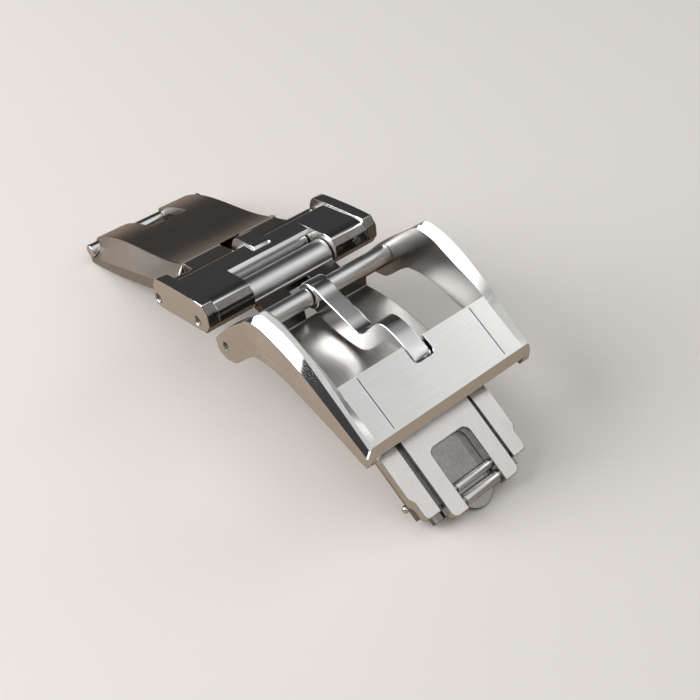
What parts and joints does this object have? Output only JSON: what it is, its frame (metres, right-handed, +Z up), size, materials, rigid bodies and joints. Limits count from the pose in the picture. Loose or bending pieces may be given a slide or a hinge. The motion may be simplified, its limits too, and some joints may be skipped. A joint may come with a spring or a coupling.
{
  "type": "deployant clasp",
  "caption": "Folding watch strap clasp: buckle frame with tang, arched upper blade, linked lower blade and a side-pusher lock.",
  "frame": {"origin": "on the table below the middle of the open clasp", "axes": "+X along the strap towards the lock end, +Y across the strap, +Z up"},
  "size_m": [0.0589, 0.0232, 0.0184],
  "materials": {
    "satin_steel": "fine satin",
    "polished_steel": "mirror polished",
    "brushed_steel": "straight brushed",
    "pin_steel": "turned",
    "spring_steel": "drawn wire"
  },
  "bodies": {
    "upper": {"upper_blade": "satin_steel", "rear_lock_bar": "polished_steel", "front_lock_bar": "polished_steel", "lock_housing": "satin_steel", "housing_cover": "satin_steel", "link_front_pin": "pin_steel"},
    "pusher_l": {"pusher_left": "polished_steel", "pusher_spring_left": "spring_steel"},
    "pusher_r": {"pusher_right": "polished_steel", "pusher_spring_right": "spring_steel"},
    "frame": {"buckle_frame": "brushed_steel", "sleeve_left": "brushed_steel", "sleeve_right": "brushed_steel", "tang_pin": "pin_steel", "frame_hinge_pin": "pin_steel"},
    "tang": {"tang": "polished_steel"},
    "link": {"link": "polished_steel", "link_rear_pin": "pin_steel", "link_stop_pin": "pin_steel"},
    "lower": {"lower_blade": "satin_steel", "catch_bar": "polished_steel"}
  },
  "joints": [
    {"name": "frame_lift", "type": "hinge", "parent": "upper", "child": "frame", "pos_m": [0.00276, 0, 0.00992], "axis": [0, -1, 0], "range_deg": [0, 50]},
    {"name": "tang_swing", "type": "hinge", "parent": "frame", "child": "tang", "pos_m": [0.00396, 0, 0.01172], "axis": [0, -1, 0], "range_deg": [0, 70]},
    {"name": "link_fold", "type": "hinge", "parent": "upper", "child": "link", "pos_m": [-0.00129, 0, 0.01092], "axis": [0, -1, 0], "range_deg": [0, 108]},
    {"name": "blade_fold", "type": "hinge", "parent": "link", "child": "lower", "pos_m": [-0.00833, 0, 0.00942], "axis": [0, -1, 0], "range_deg": [0, 41.5]},
    {"name": "press_left", "type": "slide", "parent": "upper", "child": "pusher_l", "axis": [0, 1, 0], "range_m": [0, 0.0008], "stiffness_N_per_m": 900, "springref_m": -0.0006, "deforming": ["pusher_spring_left"]},
    {"name": "press_right", "type": "slide", "parent": "upper", "child": "pusher_r", "axis": [0, -1, 0], "range_m": [0, 0.0008], "stiffness_N_per_m": 900, "springref_m": -0.0006, "deforming": ["pusher_spring_right"]}
  ]
}
